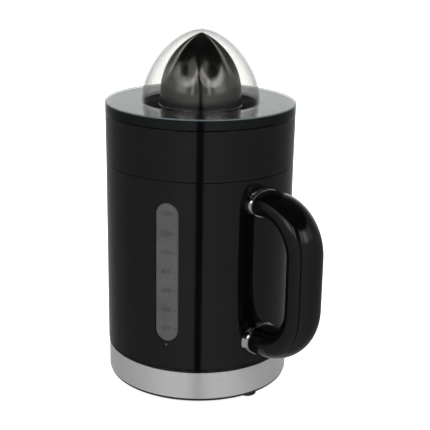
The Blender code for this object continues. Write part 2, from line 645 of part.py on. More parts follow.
def build_cone(cone):
    steps, segments, wall = 7, 32, 1.2
    outer = bell_points(CONE_R, CONE_Z, CONE_H, 2.688, 1.27, steps)
    inner = bell_points(CONE_R - wall, CONE_Z, CONE_H - wall * 1.4, 2.688, 1.27, steps)
    bm = lathe_mesh(outer[::-1] + inner, segments)
    rib_low = CONE_Z + CONE_H * 0.38
    for vert in bm.verts:
        share = min(1.0, max(0.0, (vert.co.z - rib_low) / (CONE_H * 0.3)))
        around = math.cos(CONE_RIBS * math.atan2(vert.co.y, vert.co.x))
        vert.co.xy *= 1 - 0.035 * share * (1 - around)
    place("cone_shell", bm, "polished_steel", cone, sharp=50.0)

    hub_low = CONE_Z + 0.6
    hub_outer = [(8.6, hub_low), (8.6, 233.0), (28.5, 233.0), (28.0, 240.0), (23.0, 252.0),
                 (15.5, 263.0), (0.0, 270.0)]
    hub_inner = [(0.0, 262.6), (4.6, 262.6), (4.6, hub_low)]
    lathe("cone_hub", (hub_inner + hub_outer), "black_satin", cone, MEDIUM)
    prism("drive_shaft", hexagon(4.2), 138.5, 262.2, "zinc", cone)


def build_lid(lid):
    low, high = LID_Z
    skirt_r = LID_R - SKIRT_WALL
    outer = bell_points(DOME_R, high, TOP_Z - high, 1.744, 1.779, 6)
    inner = bell_points(DOME_R - DOME_WALL, high - DOME_WALL, TOP_Z - high, 1.744, 1.779, 6)
    outline = inner[::-1] + [(skirt_r, high - DOME_WALL), (skirt_r, low), (LID_R, low),
                             (LID_R, high - 0.6), (LID_R - 0.6, high), (DOME_R + 1.2, high)] + outer
    lathe("lid", outline, "clear", lid)


# ---------------------------------------------------------------- assembly
def main():
    clear_scene()
    names = ("base", "rotor", "output", "coupling", "plunger", "jug", "collector", "strainer",
             "bush", "cone", "lid")
    carriers = {name: pivot(f"{name}_axis", AXIS_X) for name in names}
    idler_x, idler_y = polar(GEAR_CENTRES, IDLER_AZIMUTH)
    idler = pivot("idler_axis", AXIS_X + idler_x, idler_y)
    plate_screws = [polar(33.0, a) for a in (0.0, 120.0, -120.0)]

    screws = build_feet_and_cover(carriers["base"])
    build_housing(carriers["base"], screws, plate_screws)
    gearbox_z, bolts = build_motor(carriers["base"], carriers["rotor"], plate_screws)
    build_gearbox(carriers["base"], idler, carriers["output"], gearbox_z, bolts)
    build_coupling(carriers["base"], carriers["output"], carriers["coupling"], carriers["plunger"])
    build_jug(carriers["jug"])
    build_collector(carriers["collector"])
    build_strainer(carriers["strainer"], carriers["bush"])
    build_cone(carriers["cone"])
    build_lid(carriers["lid"])


main()
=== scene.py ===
import json
import math

import bmesh
import bpy
from mathutils import Matrix, Vector


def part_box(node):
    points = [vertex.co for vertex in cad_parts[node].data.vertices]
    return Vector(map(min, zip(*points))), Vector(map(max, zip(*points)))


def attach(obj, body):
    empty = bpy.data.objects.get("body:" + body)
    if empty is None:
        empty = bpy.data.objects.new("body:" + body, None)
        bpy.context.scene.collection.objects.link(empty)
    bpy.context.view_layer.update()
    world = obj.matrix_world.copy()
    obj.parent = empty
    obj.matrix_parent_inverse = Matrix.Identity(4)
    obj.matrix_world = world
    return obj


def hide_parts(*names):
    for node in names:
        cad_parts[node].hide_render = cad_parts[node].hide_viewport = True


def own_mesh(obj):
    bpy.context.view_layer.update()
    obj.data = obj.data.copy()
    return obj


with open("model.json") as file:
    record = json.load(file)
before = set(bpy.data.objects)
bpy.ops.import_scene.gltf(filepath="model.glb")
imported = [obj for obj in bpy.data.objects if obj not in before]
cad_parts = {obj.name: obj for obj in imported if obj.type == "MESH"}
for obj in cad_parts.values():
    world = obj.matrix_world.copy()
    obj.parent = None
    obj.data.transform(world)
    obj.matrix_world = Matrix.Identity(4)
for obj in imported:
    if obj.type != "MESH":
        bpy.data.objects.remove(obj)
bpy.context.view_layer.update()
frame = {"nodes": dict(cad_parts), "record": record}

# Lengths are in millimetres about the body's own axis; place() turns them into metres in the frame.
MM = 0.001


# ---------------------------------------------------------------- sizes read from the frame
def extent(node):
    """A CAD node's lowest and highest corners in millimetres, in the frame."""
    low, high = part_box(node)
    return low / MM, high / MM


LID_LOW, LID_HIGH = extent("lid")
AXIS = Vector(((LID_LOW.x + LID_HIGH.x) / 2, (LID_LOW.y + LID_HIGH.y) / 2, 0.0))


def radius_of(node):
    """The radius of a node that is round about the body's axis."""
    low, high = extent(node)
    return (high.y - low.y) / 2


def heights(node):
    low, high = extent(node)
    return low.z, high.z


def middle_of(node):
    """The middle of a node, from the body's axis."""
    low, high = extent(node)
    return (low + high) / 2 - AXIS


GAP = 0.3
LID_R = radius_of("lid")
BAND_R = radius_of("base_band")
BAND_Z = heights("base_band")
RIM_R = radius_of("base_housing")
COVER_R = radius_of("bottom_cover")
COVER_Z = heights("bottom_cover")
TOWER_TOP = heights("base_housing")[1]
JUG_Z = heights("jug_body")
JUG_R_TOP = radius_of("jug_body")
JUG_R_LOW = JUG_R_TOP - 0.3
COLLECTOR_R = radius_of("collector")
COLLECTOR_TOP = heights("collector")[1]
COLLECTOR_WALL = 2.4
LID_BOTTOM = COLLECTOR_TOP + GAP
LID_TOP = LID_BOTTOM + 8.5
LID_PLATE = 1.2
SKIRT_WALL = 1.2
TOP_Z = LID_HIGH.z
CONE_R = 32.9
CONE_Z = heights("cone_shell")
HANDLE_LOW, HANDLE_HIGH = extent("handle")
HANDLE_DEPTH = 12.1          # half of the grip's section, across the palm
HANDLE_WIDTH = (HANDLE_HIGH.y - HANDLE_LOW.y) / 2
HANDLE_R = HANDLE_HIGH.x - AXIS.x - HANDLE_DEPTH
GRIP_END_R = HANDLE_LOW.x - AXIS.x
ENDS = ("lower", "upper")
RING_MORE = 0.5              # how far the rings stand proud of the handle's ends
RING_Z = [heights(f"{end}_handle_ring") for end in ENDS]
LIMB_Z = [(low + high) / 2 for low, high in RING_Z]
LIMB_DEPTH = [(high - low) / 2 - RING_MORE for low, high in RING_Z]
LIMB_RISE = (5.0, 10.0)      # degrees that the handle's limbs rise on their way out
BEND_R = (37.0, 34.5)        # lower and upper bend, on the handle's middle line
TAPER = 0.3                  # share of the handle's length over which each end's depth changes
SCREW_HOLE_R = 2.3           # for the handle's screws
SCREW_Z = [sum(heights(f"{end}_handle_screw")) / 2 for end in ENDS]
WINDOW_AZIMUTH = -60.0
GLAND_AZIMUTH = 180.0
GLAND_Z = sum(heights("cord_gland")) / 2
FEET = sorted(name for name in frame["nodes"] if name.startswith("foot_"))
COVER_SCREWS = sorted(name for name in frame["nodes"] if name.startswith("cover_screw_"))

SEGMENTS = 160
THROUGH_WALL = (60.0, 90.0)  # a side cutter's reach, from inside the body's wall to outside it


# ---------------------------------------------------------------- nodes
NOISE_RANGE = (0.3, 0.7)     # where nearly all of a noise texture's values lie
WHITE = (1.0, 1.0, 1.0, 1.0)


class NodeKit:
    """Short ways to add nodes to the tree of a material or a world."""

    def __init__(self, owner):
        owner.use_nodes = True
        self.owner = owner
        self.nodes = owner.node_tree.nodes
        self.links = owner.node_tree.links
        self.shader = self.nodes.get("Principled BSDF")

    def join(self, value, socket):
        """Link an output to a socket, or set a plain value on it."""
        if isinstance(value, bpy.types.NodeSocket):
            self.links.new(value, socket)
        else:
            socket.default_value = value

    def add(self, kind, inputs=None, **properties):
        """A node with its properties set, and its inputs set or linked."""
        node = self.nodes.new(kind)
        for name, value in properties.items():
            setattr(node, name, value)
        for name, value in (inputs or {}).items():
            self.join(value, node.inputs[name])
        return node

    def set(self, inputs):
        """Set or link inputs of the material's shader."""
        for name, value in inputs.items():
            self.join(value, self.shader.inputs[name])

    def math(self, operation, value, other=None):
        step = self.add("ShaderNodeMath", {0: value}, operation=operation)
        if other is not None:
            self.join(other, step.inputs[1])
        return step.outputs[0]

    def here(self):
        """The point being shaded, in the piece's own space."""
        return self.add("ShaderNodeTexCoord").outputs["Object"]

    def split(self, vector):
        parts = self.add("ShaderNodeSeparateXYZ", {"Vector": vector})
        return parts.outputs["X"], parts.outputs["Y"], parts.outputs["Z"]

    def noise(self, scale, detail=2.0, vector=None):
        inputs = {"Scale": scale, "Detail": detail, "Vector": vector or self.here()}
        return self.add("ShaderNodeTexNoise", inputs).outputs["Fac"]

    def round_noise(self, around, up, detail):
        """Noise with its own scales round and up the body's axis; the shine is drawn round too."""
        x, y, z = self.split(self.here())
        turn = self.math('MULTIPLY', self.math('ARCTAN2', y, x), around)
        vector = self.add("ShaderNodeCombineXYZ", {"X": turn, "Z": self.math('MULTIPLY', z, up)})
        tangent = self.add("ShaderNodeTangent", direction_type='RADIAL', axis='Z')
        self.set({"Tangent": tangent.outputs["Tangent"]})
        return self.noise(1.0, detail, vector.outputs["Vector"])

    def spread(self, value, low, high):
        """Spread the middle of a noise's range over a wanted range."""
        inputs = {"Value": value, "From Min": NOISE_RANGE[0], "From Max": NOISE_RANGE[1], "To Min": low,
                  "To Max": high}
        return self.add("ShaderNodeMapRange", inputs).outputs["Result"]

    def ramp(self, value, stops):
        """Colours by value: stops are (position, colour)."""
        node = self.add("ShaderNodeValToRGB", {"Fac": value})
        elements = node.color_ramp.elements
        for index, (position, colour) in enumerate(stops):
            element = elements[index] if index < 2 else elements.new(position)
            element.position = position
            element.color = (*colour, 1.0)
        return node.outputs["Color"]

    def colour(self, value, dark, light):
        """Let the base colour run between two colours by a value."""
        self.set({"Base Color": self.ramp(value, zip(NOISE_RANGE, (dark, light)))})

    def roughness(self, value, low, high):
        """Let the roughness run between two levels by a value."""
        self.set({"Roughness": self.spread(value, low, high)})

    def bump(self, height, strength, distance):
        step = self.add("ShaderNodeBump", {"Strength": strength, "Distance": distance, "Height": height})
        self.set({"Normal": step.outputs["Normal"]})


def paint(name):
    return NodeKit(bpy.data.materials.new(name))


# ---------------------------------------------------------------- materials
def gloss_black(name, smooth_shine, worn_shine):
    """Polished black ABS: a faint flow ripple, and a slightly uneven shine where hands have been."""
    kit = paint(name)
    kit.colour(kit.noise(40.0, 3.0), (0.0012, 0.0012, 0.0013), (0.0020, 0.0020, 0.0021))
    kit.roughness(kit.noise(26.0, 4.0), smooth_shine, worn_shine)
    kit.set({"IOR": 1.49})
    kit.bump(kit.noise(120.0, 1.0), 0.025, 0.0004)
    return kit.owner


def satin_black():
    """Spark-eroded black plastic: a fine grain in colour, shine and height."""
    kit = paint("satin_black")
    grain = kit.noise(2600.0, 3.0)
    kit.colour(grain, (0.005, 0.005, 0.0055), (0.012, 0.012, 0.0125))
    kit.roughness(kit.noise(90.0, 3.0), 0.34, 0.46)
    kit.bump(grain, 0.25, 0.0002)
    return kit.owner


def brushed_steel():
    """Steel brushed round the body: hair lines along the sheet, and shine spread across them."""
    kit = paint("brushed_steel")
    kit.set({"Metallic": 0.83, "Anisotropic": 0.8, "Anisotropic Rotation": 0.25})
    hair = kit.round_noise(9.0, 9000.0, 3.0)
    kit.colour(hair, (0.80, 0.80, 0.795), (0.92, 0.92, 0.915))
    kit.roughness(hair, 0.36, 0.46)
    kit.bump(hair, 0.12, 0.00005)
    return kit.owner


def polished_steel():
    """Pressed and buffed stainless steel with faint brushing that runs up the cone."""
    kit = paint("polished_steel")
    kit.set({"Metallic": 1.0, "Anisotropic": 0.4})
    marks = kit.round_noise(75.0, 30.0, 2.0)
    kit.colour(marks, (0.24, 0.235, 0.225), (0.29, 0.284, 0.272))
    kit.roughness(marks, 0.12, 0.19)
    return kit.owner


def chrome():
    """Bright chrome plate with the slightest haze."""
    kit = paint("chrome")
    kit.set({"Metallic": 1.0})
    haze = kit.noise(160.0, 3.0)
    kit.colour(haze, (0.78, 0.78, 0.79), (0.88, 0.88, 0.89))
    kit.roughness(haze, 0.03, 0.07)
    return kit.owner


def clear_plastic(name, face_on, slanted):
    """Clear styrene wall: see-through face on, greyer and mirror-like at a slant."""
    kit = paint(name)
    kit.nodes.remove(kit.shader)
    slant = kit.add("ShaderNodeLayerWeight", {"Blend": 0.5}).outputs["Facing"]
    tint = kit.ramp(slant, ((0.5, face_on), (0.97, slanted)))
    through = kit.add("ShaderNodeBsdfTransparent", {"Color": tint})
    haze = kit.spread(kit.noise(70.0, 3.0), 0.008, 0.03)
    mirror = kit.add("ShaderNodeBsdfGlossy", {"Color": (0.97, 0.98, 0.98, 1.0), "Roughness": haze})
    share = kit.add("ShaderNodeMapRange", {"Value": kit.math('POWER', slant, 5.0), "To Min": 0.03,
                                           "To Max": 0.75})
    mix = kit.add("ShaderNodeMixShader", {"Fac": share.outputs["Result"], 1: through.outputs["BSDF"],
                                          2: mirror.outputs["BSDF"]})
    kit.join(mix.outputs["Shader"], kit.nodes["Material Output"].inputs["Surface"])
    return kit.owner


def smoke_plastic():
    """Frosted grey window plastic, a little cloudy."""
    kit = paint("smoke_plastic")
    cloud = kit.noise(55.0, 4.0)
    kit.colour(cloud, (0.060, 0.061, 0.062), (0.082, 0.083, 0.084))
    kit.roughness(kit.noise(1500.0, 2.0), 0.22, 0.34)
    kit.bump(cloud, 0.1, 0.0004)
    return kit.owner


def rubber():
    """Black moulded rubber with a fine dull grain."""
    kit = paint("rubber")
    grain = kit.noise(1800.0, 4.0)
    kit.colour(grain, (0.012, 0.012, 0.012), (0.030, 0.030, 0.029))
    kit.roughness(kit.noise(300.0, 2.0), 0.62, 0.82)
    kit.bump(grain, 0.3, 0.0002)
    return kit.owner


def metal(name, dark, light, roughness):
    """Plated or bare inner metal with a mottled surface."""
    kit = paint(name)
    kit.set({"Metallic": 1.0})
    mottle = kit.noise(700.0, 3.0)
    kit.colour(mottle, dark, light)
    kit.roughness(mottle, roughness - 0.06, roughness + 0.08)
    kit.bump(mottle, 0.08, 0.0001)
    return kit.owner


def stacked_metal(name, dark, light, pitch):
    """Laminations or wire turns: dark lines at a pitch up the piece."""
    kit = paint(name)
    kit.set({"Metallic": 1.0})
    scale = math.pi / (pitch * 10.0)
    wave = kit.add("ShaderNodeTexWave", {"Scale": scale, "Vector": kit.here()}, bands_direction='Z')
    lines = wave.outputs["Fac"]
    kit.colour(lines, dark, light)
    kit.roughness(lines, 0.5, 0.35)
    kit.bump(lines, 0.4, 0.0003)
    return kit.owner


def moulded(name, dark, light, roughness):
    """Moulded plastic with slight colour and shine variation."""
    kit = paint(name)
    tone = kit.noise(220.0, 3.0)
    kit.colour(tone, dark, light)
    kit.roughness(tone, roughness - 0.05, roughness + 0.05)
    kit.bump(kit.noise(1500.0, 2.0), 0.1, 0.0001)
    return kit.owner


FINISH = {
    "gloss_black": gloss_black("gloss_black", 0.035, 0.075),
    "satin_black": satin_black(),
    "band_steel": brushed_steel(),
    "cone_steel": polished_steel(),
    "ring_chrome": chrome(),
    "lid_clear": clear_plastic("clear_plastic", (0.884, 0.882, 0.872), (0.76, 0.775, 0.78)),
    "window_smoke": smoke_plastic(),
    "rubber": rubber(),
    "zinc": metal("zinc", (0.50, 0.51, 0.53), (0.66, 0.67, 0.69), 0.32),
    "laminations": stacked_metal("laminations", (0.10, 0.10, 0.11), (0.34, 0.34, 0.36), 0.0005),
    "copper": stacked_metal("copper", (0.28, 0.10, 0.045), (0.70, 0.32, 0.16), 0.0007),
    "bronze": metal("bronze", (0.36, 0.24, 0.12), (0.52, 0.36, 0.20), 0.42),
    "nylon": moulded("nylon", (0.66, 0.65, 0.60), (0.80, 0.79, 0.74), 0.45),
    "switch_red": moulded("switch_red", (0.36, 0.035, 0.03), (0.48, 0.06, 0.05), 0.42),
}

# The lid's skirt: the plastic's own blue-grey edge tint, darkened further as painted shade of the narrow
# gap under the lid's plate.
LID_SKIRT_PAINTED_SHADE = clear_plastic("clear_skirt_painted_shade", (0.50, 0.54, 0.56), (0.36, 0.41, 0.44))
# The lid plate's outer corner: a lighter blue-grey matt colour, a painted highlight for the light that the
# clear plate carries to its edge.
LID_CORNER_PAINTED_HIGHLIGHT = moulded("clear_corner_painted_highlight", (0.085, 0.110, 0.115), (0.125, 0.155, 0.160), 0.22)
GRIP_FINISH = gloss_black("grip_black", 0.09, 0.13)


# ---------------------------------------------------------------- mesh helpers
def place(name, bm, body, slot, stands_for=(), sharp=32.0, weighted=True):
    """Turn a bmesh in millimetres about the body's axis into a piece that rides a CAD body."""
    bmesh.ops.remove_doubles(bm, verts=bm.verts, dist=0.0005)
    bmesh.ops.recalc_face_normals(bm, faces=bm.faces)
    bmesh.ops.transform(bm, matrix=Matrix.Scale(MM, 4), verts=bm.verts)
    mesh = bpy.data.meshes.new(name)
    bm.to_mesh(mesh)
    bm.free()
    made = bpy.data.objects.new(name, mesh)
    made.location = AXIS * MM
    bpy.context.scene.collection.objects.link(made)
    shade(made, sharp, weighted)
    if body is not None:
        mesh.materials.append(FINISH[slot])
        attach(made, body)
        if stands_for:
            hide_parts(*stands_for)
    return made


def shade(made, sharp, weighted=True):
    made.data.shade_smooth()
    made.data.set_sharp_from_angle(angle=math.radians(sharp))
    if weighted:
        step = made.modifiers.new("even shading", 'WEIGHTED_NORMAL')
        step.keep_sharp = True
        step.weight = 100


def rounded(points, steps=4):
    """Round the corners of an outline of (radius, height, corner radius) points."""
    result = []
    count = len(points)
    for i, (x, z, size) in enumerate(points):
        if size <= 0:
            result.append((x, z))
            continue
        here = Vector((x, z))
        before = Vector(points[i - 1][:2]) - here
        after = Vector(points[(i + 1) % count][:2]) - here
        half = before.angle(after) / 2
        reach = min(size / math.tan(half), before.length * 0.49, after.length * 0.49)
        size = reach * math.tan(half)
        middle = here + (before.normalized() + after.normalized()).normalized() * (size / math.sin(half))
        start = here + before.normalized() * reach - middle
        end = here + after.normalized() * reach - middle
        turn = start.angle_signed(end)
        for k in range(steps + 1):
            arm = start.copy()
            arm.rotate(Matrix.Rotation(-turn * k / steps, 2))
            result.append(tuple(middle + arm))
    return result


def lathe_mesh(outline, segments=SEGMENTS, closed=True):
    """Turn an outline of (radius, height) about Z; points on the axis become poles."""
    bm = bmesh.new()
    columns = []
    poles = {}
    for i in range(segments):
        a = 2 * math.pi * i / segments
        column = []
        for k, (r, z) in enumerate(outline):
            if r <= 1e-6:
                if k not in poles:
                    poles[k] = bm.verts.new((0.0, 0.0, z))
                column.append(poles[k])
            else:
                column.append(bm.verts.new((r * math.cos(a), r * math.sin(a), z)))
        columns.append(column)
    pairs = list(zip(range(len(outline)), range(1, len(outline))))
    if closed and outline[0][0] > 1e-6:
        pairs.append((len(outline) - 1, 0))
    for i in range(segments):
        left, right = columns[i], columns[(i + 1) % segments]
        for low, high in pairs:
            corners = [left[low], right[low], right[high], left[high]]
            unique = list(dict.fromkeys(corners))
            if len(unique) > 2:
                bm.faces.new(unique)
    return bm


def lathe(name, outline, body, slot, stands_for=(), segments=SEGMENTS, sharp=32.0):
    return place(name, lathe_mesh(rounded(outline), segments), body, slot, stands_for, sharp)


def prism_mesh(outline, low, high, matrix=None, bm=None):
    """Extrude a flat outline of (x, y) points; with a bmesh given, the solid is added to it."""
    target = bm or bmesh.new()
    bottom = [target.verts.new((x, y, low)) for x, y in outline]
    top = [target.verts.new((x, y, high)) for x, y in outline]
    target.faces.new(list(reversed(bottom)))
    target.faces.new(top)
    for i in range(len(outline)):
        k = (i + 1) % len(outline)
        target.faces.new((bottom[i], bottom[k], top[k], top[i]))
    if matrix is not None:
        bmesh.ops.transform(target, matrix=matrix, verts=bottom + top)
    return target


def ellipse(half_x, half_y, segments):
    steps = [2 * math.pi * i / segments for i in range(segments)]
    return [(half_x * math.cos(a), half_y * math.sin(a)) for a in steps]


def stadium(half_width, low, high, segments=16):
    """A slot outline: straight sides, round ends."""
    points = []
    for centre, start in ((high - half_width, 0.0), (low + half_width, math.pi)):
        for i in range(segments + 1):
            a = start + math.pi * i / segments
            points.append((half_width * math.cos(a), centre + half_width * math.sin(a)))
    return points


def polar(radius, azimuth):
    a = math.radians(azimuth)
    return radius * math.cos(a), radius * math.sin(a)


def radial_matrix(azimuth, height=0.0):
    """Local x runs round the body, local y up and local z outwards at an azimuth in degrees."""
    a = math.radians(azimuth)
    out = Vector((math.cos(a), math.sin(a), 0.0))
    round_ = Vector((-math.sin(a), math.cos(a), 0.0))
    turn = Matrix((round_, (0.0, 0.0, 1.0), out)).transposed().to_4x4()
    return Matrix.Translation((0.0, 0.0, height)) @ turn


def sweep_mesh(rings):
    """A solid through successive rings of (x, y, z) points, capped at both ends."""
    bm = bmesh.new()
    loops = [[bm.verts.new(point) for point in ring] for ring in rings]
    for lower, upper in zip(loops, loops[1:]):
        for k in range(len(lower)):
            n = (k + 1) % len(lower)
            bm.faces.new((lower[k], lower[n], upper[n], upper[k]))
    bm.faces.new(list(reversed(loops[0])))
    bm.faces.new(loops[-1])
    return bm


def turned_mesh(outline, matrix, segments):
    """A lathed solid with rounded corners, moved to its place."""
    bm = lathe_mesh(rounded(outline), segments)
    bmesh.ops.transform(bm, matrix=matrix, verts=bm.verts)
    return bm


def bell_points(radius, low, height, round_power, side_power, steps):
    """A bell profile from its foot up to its tip on the axis."""
    points = []
    for i in range(steps + 1):
        t = math.sin(math.pi / 2 * i / steps)
        points.append((radius * (1 - t ** round_power) ** (1 / side_power), low + height * t))
    return points


def smooth(share):
    """Ease a share from 0 to 1, flat at both ends."""
    share = min(1.0, max(0.0, share))
    return share * share * (3.0 - 2.0 * share)


def carve(target, tool_mesh, operation='DIFFERENCE'):
    """Cut or join a tool given as a bmesh in millimetres, and keep the result as the piece's mesh."""
    tool = place(f"{target.name}_tool", tool_mesh, None, None, weighted=False)
    step = target.modifiers.new("carve", 'BOOLEAN')
    step.operation = operation
    step.solver = 'EXACT'
    step.object = tool
    others = [m for m in target.modifiers if m != step]
    for other in others:
        other.show_viewport = False
    bpy.context.view_layer.update()
    graph = bpy.context.evaluated_depsgraph_get()
    result = bpy.data.meshes.new_from_object(target.evaluated_get(graph))
    target.modifiers.remove(step)
    old = target.data
    target.data = result
    target.data.name = target.name
    bpy.data.meshes.remove(old)
    used = tool.data
    bpy.data.objects.remove(tool)
    bpy.data.meshes.remove(used)
    for other in others:
        other.show_viewport = True
    return target


def round_wall_normals(made, sharp=32.0):
    """Shade upright round walls exactly, so that cut openings leave no ripple in the gloss."""
    for step in [m for m in made.modifiers if m.type == 'WEIGHTED_NORMAL']:
        made.modifiers.remove(step)
    mesh = made.data
    mesh.shade_smooth()
    mesh.set_sharp_from_angle(angle=math.radians(sharp))
    normals = [Vector(item.vector) for item in mesh.corner_normals]
    for face in mesh.polygons:
        flat = Vector((face.normal.x, face.normal.y))
        middle = Vector((face.center.x, face.center.y))
        if middle.length < 1e-6 or flat.length < 0.97:
            continue
        if abs(flat.normalized().dot(middle.normalized())) < 0.995:
            continue
        side = 1.0 if flat.dot(middle) > 0 else -1.0
        for loop in face.loop_indices:
            spot = mesh.vertices[mesh.loops[loop].vertex_index].co
            normals[loop] = Vector((spot.x, spot.y, 0.0)).normalized() * side
    mesh.normals_split_custom_set(normals)
    return made


# ---------------------------------------------------------------- camera
CAMERA_AZIMUTH = -41.0
CAMERA_DISTANCE = 834.17
CAMERA_HEIGHT = 397.84
CAMERA_YAW = 0.892
CAMERA_PITCH = 17.439
CAMERA_ROLL = 0.981
LENS = 88.36


def build_camera():
    """A long lens a little above the lid, looking down at the front edge of the body."""
    data = bpy.data.cameras.new("camera")
    data.sensor_width = 36.0
    data.lens = LENS
    data.clip_end = 50.0
    camera = bpy.data.objects.new("camera", data)
    x, y = polar(CAMERA_DISTANCE, CAMERA_AZIMUTH)
    facing = math.radians(CAMERA_AZIMUTH + 180.0 - CAMERA_YAW)
    pitch = math.radians(CAMERA_PITCH)
    forward = Vector((math.cos(facing) * math.cos(pitch), math.sin(facing) * math.cos(pitch),
                      -math.sin(pitch)))
    right = forward.cross(Vector((0, 0, 1))).normalized()
    up = right.cross(forward)
    roll = math.radians(CAMERA_ROLL)
    level_right = right * math.cos(roll) + up * math.sin(roll)
    level_up = up * math.cos(roll) - right * math.sin(roll)
    turn = Matrix((level_right, level_up, -forward)).transposed().to_4x4()
    camera.matrix_world = Matrix.Translation((AXIS + Vector((x, y, CAMERA_HEIGHT))) * MM) @ turn
    bpy.context.scene.collection.objects.link(camera)
    bpy.context.scene.camera = camera


# ---------------------------------------------------------------- base
def gland_hole(radius):
    return prism_mesh(ellipse(radius, radius, 48), *THROUGH_WALL, radial_matrix(GLAND_AZIMUTH, GLAND_Z))


def build_housing():
    """Rim, plinth and motor tower in one moulding."""
    low, wall, wall_r = BAND_Z[0], 2.2, 74.1
    rim_low, rim_high = BAND_Z[1] + GAP, BAND_Z[1] + GAP + 2.1
    plinth_r, plinth_top, tower_r = 70.5, 42.4, 29.5
    outline = [(wall_r, low, 0.3), (wall_r, rim_low, 0), (RIM_R, rim_low, 0.3), (RIM_R, rim_high, 0.7),
               (plinth_r, rim_high, 0.5), (plinth_r, plinth_top, 2.0), (tower_r, plinth_top, 1.5),
               (tower_r, TOWER_TOP, 2.5), (11.0, TOWER_TOP, 0.4), (11.0, TOWER_TOP - wall, 0.3),
               (tower_r - wall, TOWER_TOP - wall, 1.0), (tower_r - wall, plinth_top - wall, 1.0),
               (plinth_r - wall, plinth_top - wall, 1.0), (plinth_r - wall, rim_low - 0.1, 0.3),
               (wall_r - wall, rim_low - 0.1, 0.3), (wall_r - wall, low, 0.3)]
    housing = lathe("base_housing_shell", outline, "base", "gloss_black", ("base_housing",))
    ribs = bmesh.new()
    for i in range(8):
        turn = Matrix.Rotation(math.radians(45.0 * i + 22.5), 4, 'Z')
        rib = [(tower_r - 0.4, -0.8), (tower_r + 0.9, -0.8), (tower_r + 0.9, 0.8), (tower_r - 0.4, 0.8)]
        prism_mesh(rib, plinth_top - 0.5, TOWER_TOP - 6.0, turn, ribs)
    carve(housing, ribs, 'UNION')
    carve(housing, gland_hole(5.4))
    round_wall_normals(housing)


def build_band():
    """The brushed steel sleeve round the base, with a turned-in edge at top and bottom."""
    low, high = BAND_Z
    outline = [(BAND_R - 0.7, low, 0.15), (BAND_R - 0.12, low, 0.1), (BAND_R, low + 0.5, 0.3),
               (BAND_R, high - 0.5, 0.3), (BAND_R - 0.12, high, 0.1), (BAND_R - 0.7, high, 0.15)]
    band = lathe("steel_band", outline, "base", "band_steel", ("base_band",))
    carve(band, gland_hole(5.5))
    round_wall_normals(band)


def build_cover():
    """The underside: a stepped cover with vents, foot sockets and sunk screws."""
    low, top = COVER_Z[0], COVER_Z[0] + 2.4
    outline = [(0.0, low, 0), (COVER_R - 5.0, low, 0.4), (COVER_R - 4.6, low + 0.25, 0.2),
               (COVER_R - 0.9, low + 0.05, 0.4), (COVER_R, low + 0.9, 0.5), (COVER_R, top, 0.3),
               (71.3, top, 0.2), (71.3, COVER_Z[1], 0.4), (69.5, COVER_Z[1], 0.4), (69.5, top, 0.3),
               (0.0, top, 0)]
    cover = lathe("bottom_cover_plate", outline, "base", "satin_black", ("bottom_cover",))
    cutters = bmesh.new()
    for i in range(6):
        turn = Matrix.Rotation(math.radians(60.0 * i + 30.0), 4, 'Z')
        prism_mesh(stadium(1.5, 14.0, 34.0, 8), 0.0, 8.0, turn, cutters)
    for nodes, radius in ((FEET, 2.9), (COVER_SCREWS, 1.7)):
        for node in nodes:
            at = Matrix.Translation((*middle_of(node).xy, 0.0))
            prism_mesh(ellipse(radius, radius, 32), 0.0, 8.0, at, cutters)
    carve(cover, cutters)


def build_feet():
    """Rubber feet with a sunk middle, each on a stem that plugs into the cover."""
    for node in FEET:
        low, high = extent(node)
        radius = (high.x - low.x) / 2
        outline = [(0.0, 0.55, 0), (2.4, 0.55, 0.3), (2.9, 0.0, 0.25), (radius - 0.2, 0.0, 0.9),
                   (radius, 2.5, 0.35), (2.6, 2.5, 0.1), (2.6, 5.9, 0.3), (0.0, 6.4, 0)]
        foot = turned_mesh(outline, Matrix.Translation((*middle_of(node).xy, 0.0)), 48)
        place(f"{node}_pad", foot, "base", "rubber", (node,))


def screw_mesh(head_r, head_h, shank_r, length, matrix):
    """A domed head on a threaded-looking shank, along local +Z from its head; build_screw cuts the cross
    recess.
    """
    outline = [(0.0, 0.0), (head_r * 0.55, head_h * 0.06), (head_r * 0.85, head_h * 0.28),
               (head_r, head_h * 0.7), (head_r, head_h), (shank_r, head_h)]
    turns = int((length - head_h - 1.2) / 0.9)
    for i in range(turns):
        z = head_h + 0.3 + 0.9 * i
        outline += [(shank_r * 0.8, z), (shank_r, z + 0.45)]
    outline += [(shank_r * 0.8, length - 0.9), (0.0, length)]
    bm = lathe_mesh(outline, 32)
    bmesh.ops.transform(bm, matrix=matrix, verts=bm.verts)
    return bm


def cross_mesh(head_r, depth, matrix):
    bm = bmesh.new()
    arm, half = head_r * 0.58, head_r * 0.11
    cross = [(arm, -half), (arm, half), (half, half), (half, arm), (-half, arm), (-half, half),
             (-arm, half), (-arm, -half), (-half, -half), (-half, -arm), (half, -arm), (half, -half)]
    return prism_mesh(cross, -1.0, depth, matrix, bm)


def build_screw(node, body, head_r, head_h, shank_r, length, matrix):
    made = place(f"{node}_fine", screw_mesh(head_r, head_h, shank_r, length, matrix), body, "zinc", (node,))
    carve(made, cross_mesh(head_r, head_h * 0.75, matrix))


def build_base_screws():
    for node in COVER_SCREWS:
        low, high = heights(node)
        build_screw(node, "base", 3.2, 1.5, 1.25, high - low,
                    Matrix.Translation((*middle_of(node).xy, low)))


def build_gland():
    """The mains lead's grommet: a ribbed rubber sleeve with a flange outside and one inside."""
    outline = [(3.4, 63.0, 0.3), (5.0, 63.0, 0.3), (5.0, 64.6, 0), (4.6, 65.0, 0), (4.6, 65.8, 0),
               (5.2, 66.2, 0), (5.6, 68.0, 0.3), (6.5, 69.5, 0.3), (6.5, 71.2, 0.3), (5.0, 71.2, 0.2),
               (5.0, 75.3, 0.1), (6.6, 75.3, 0.15), (6.2, 76.2, 0.4), (3.9, 76.2, 0.4), (3.4, 75.4, 0.4)]
    grommet = turned_mesh(outline, radial_matrix(GLAND_AZIMUTH, GLAND_Z), 64)
    place("cord_grommet", grommet, "base", "rubber", ("cord_gland",))


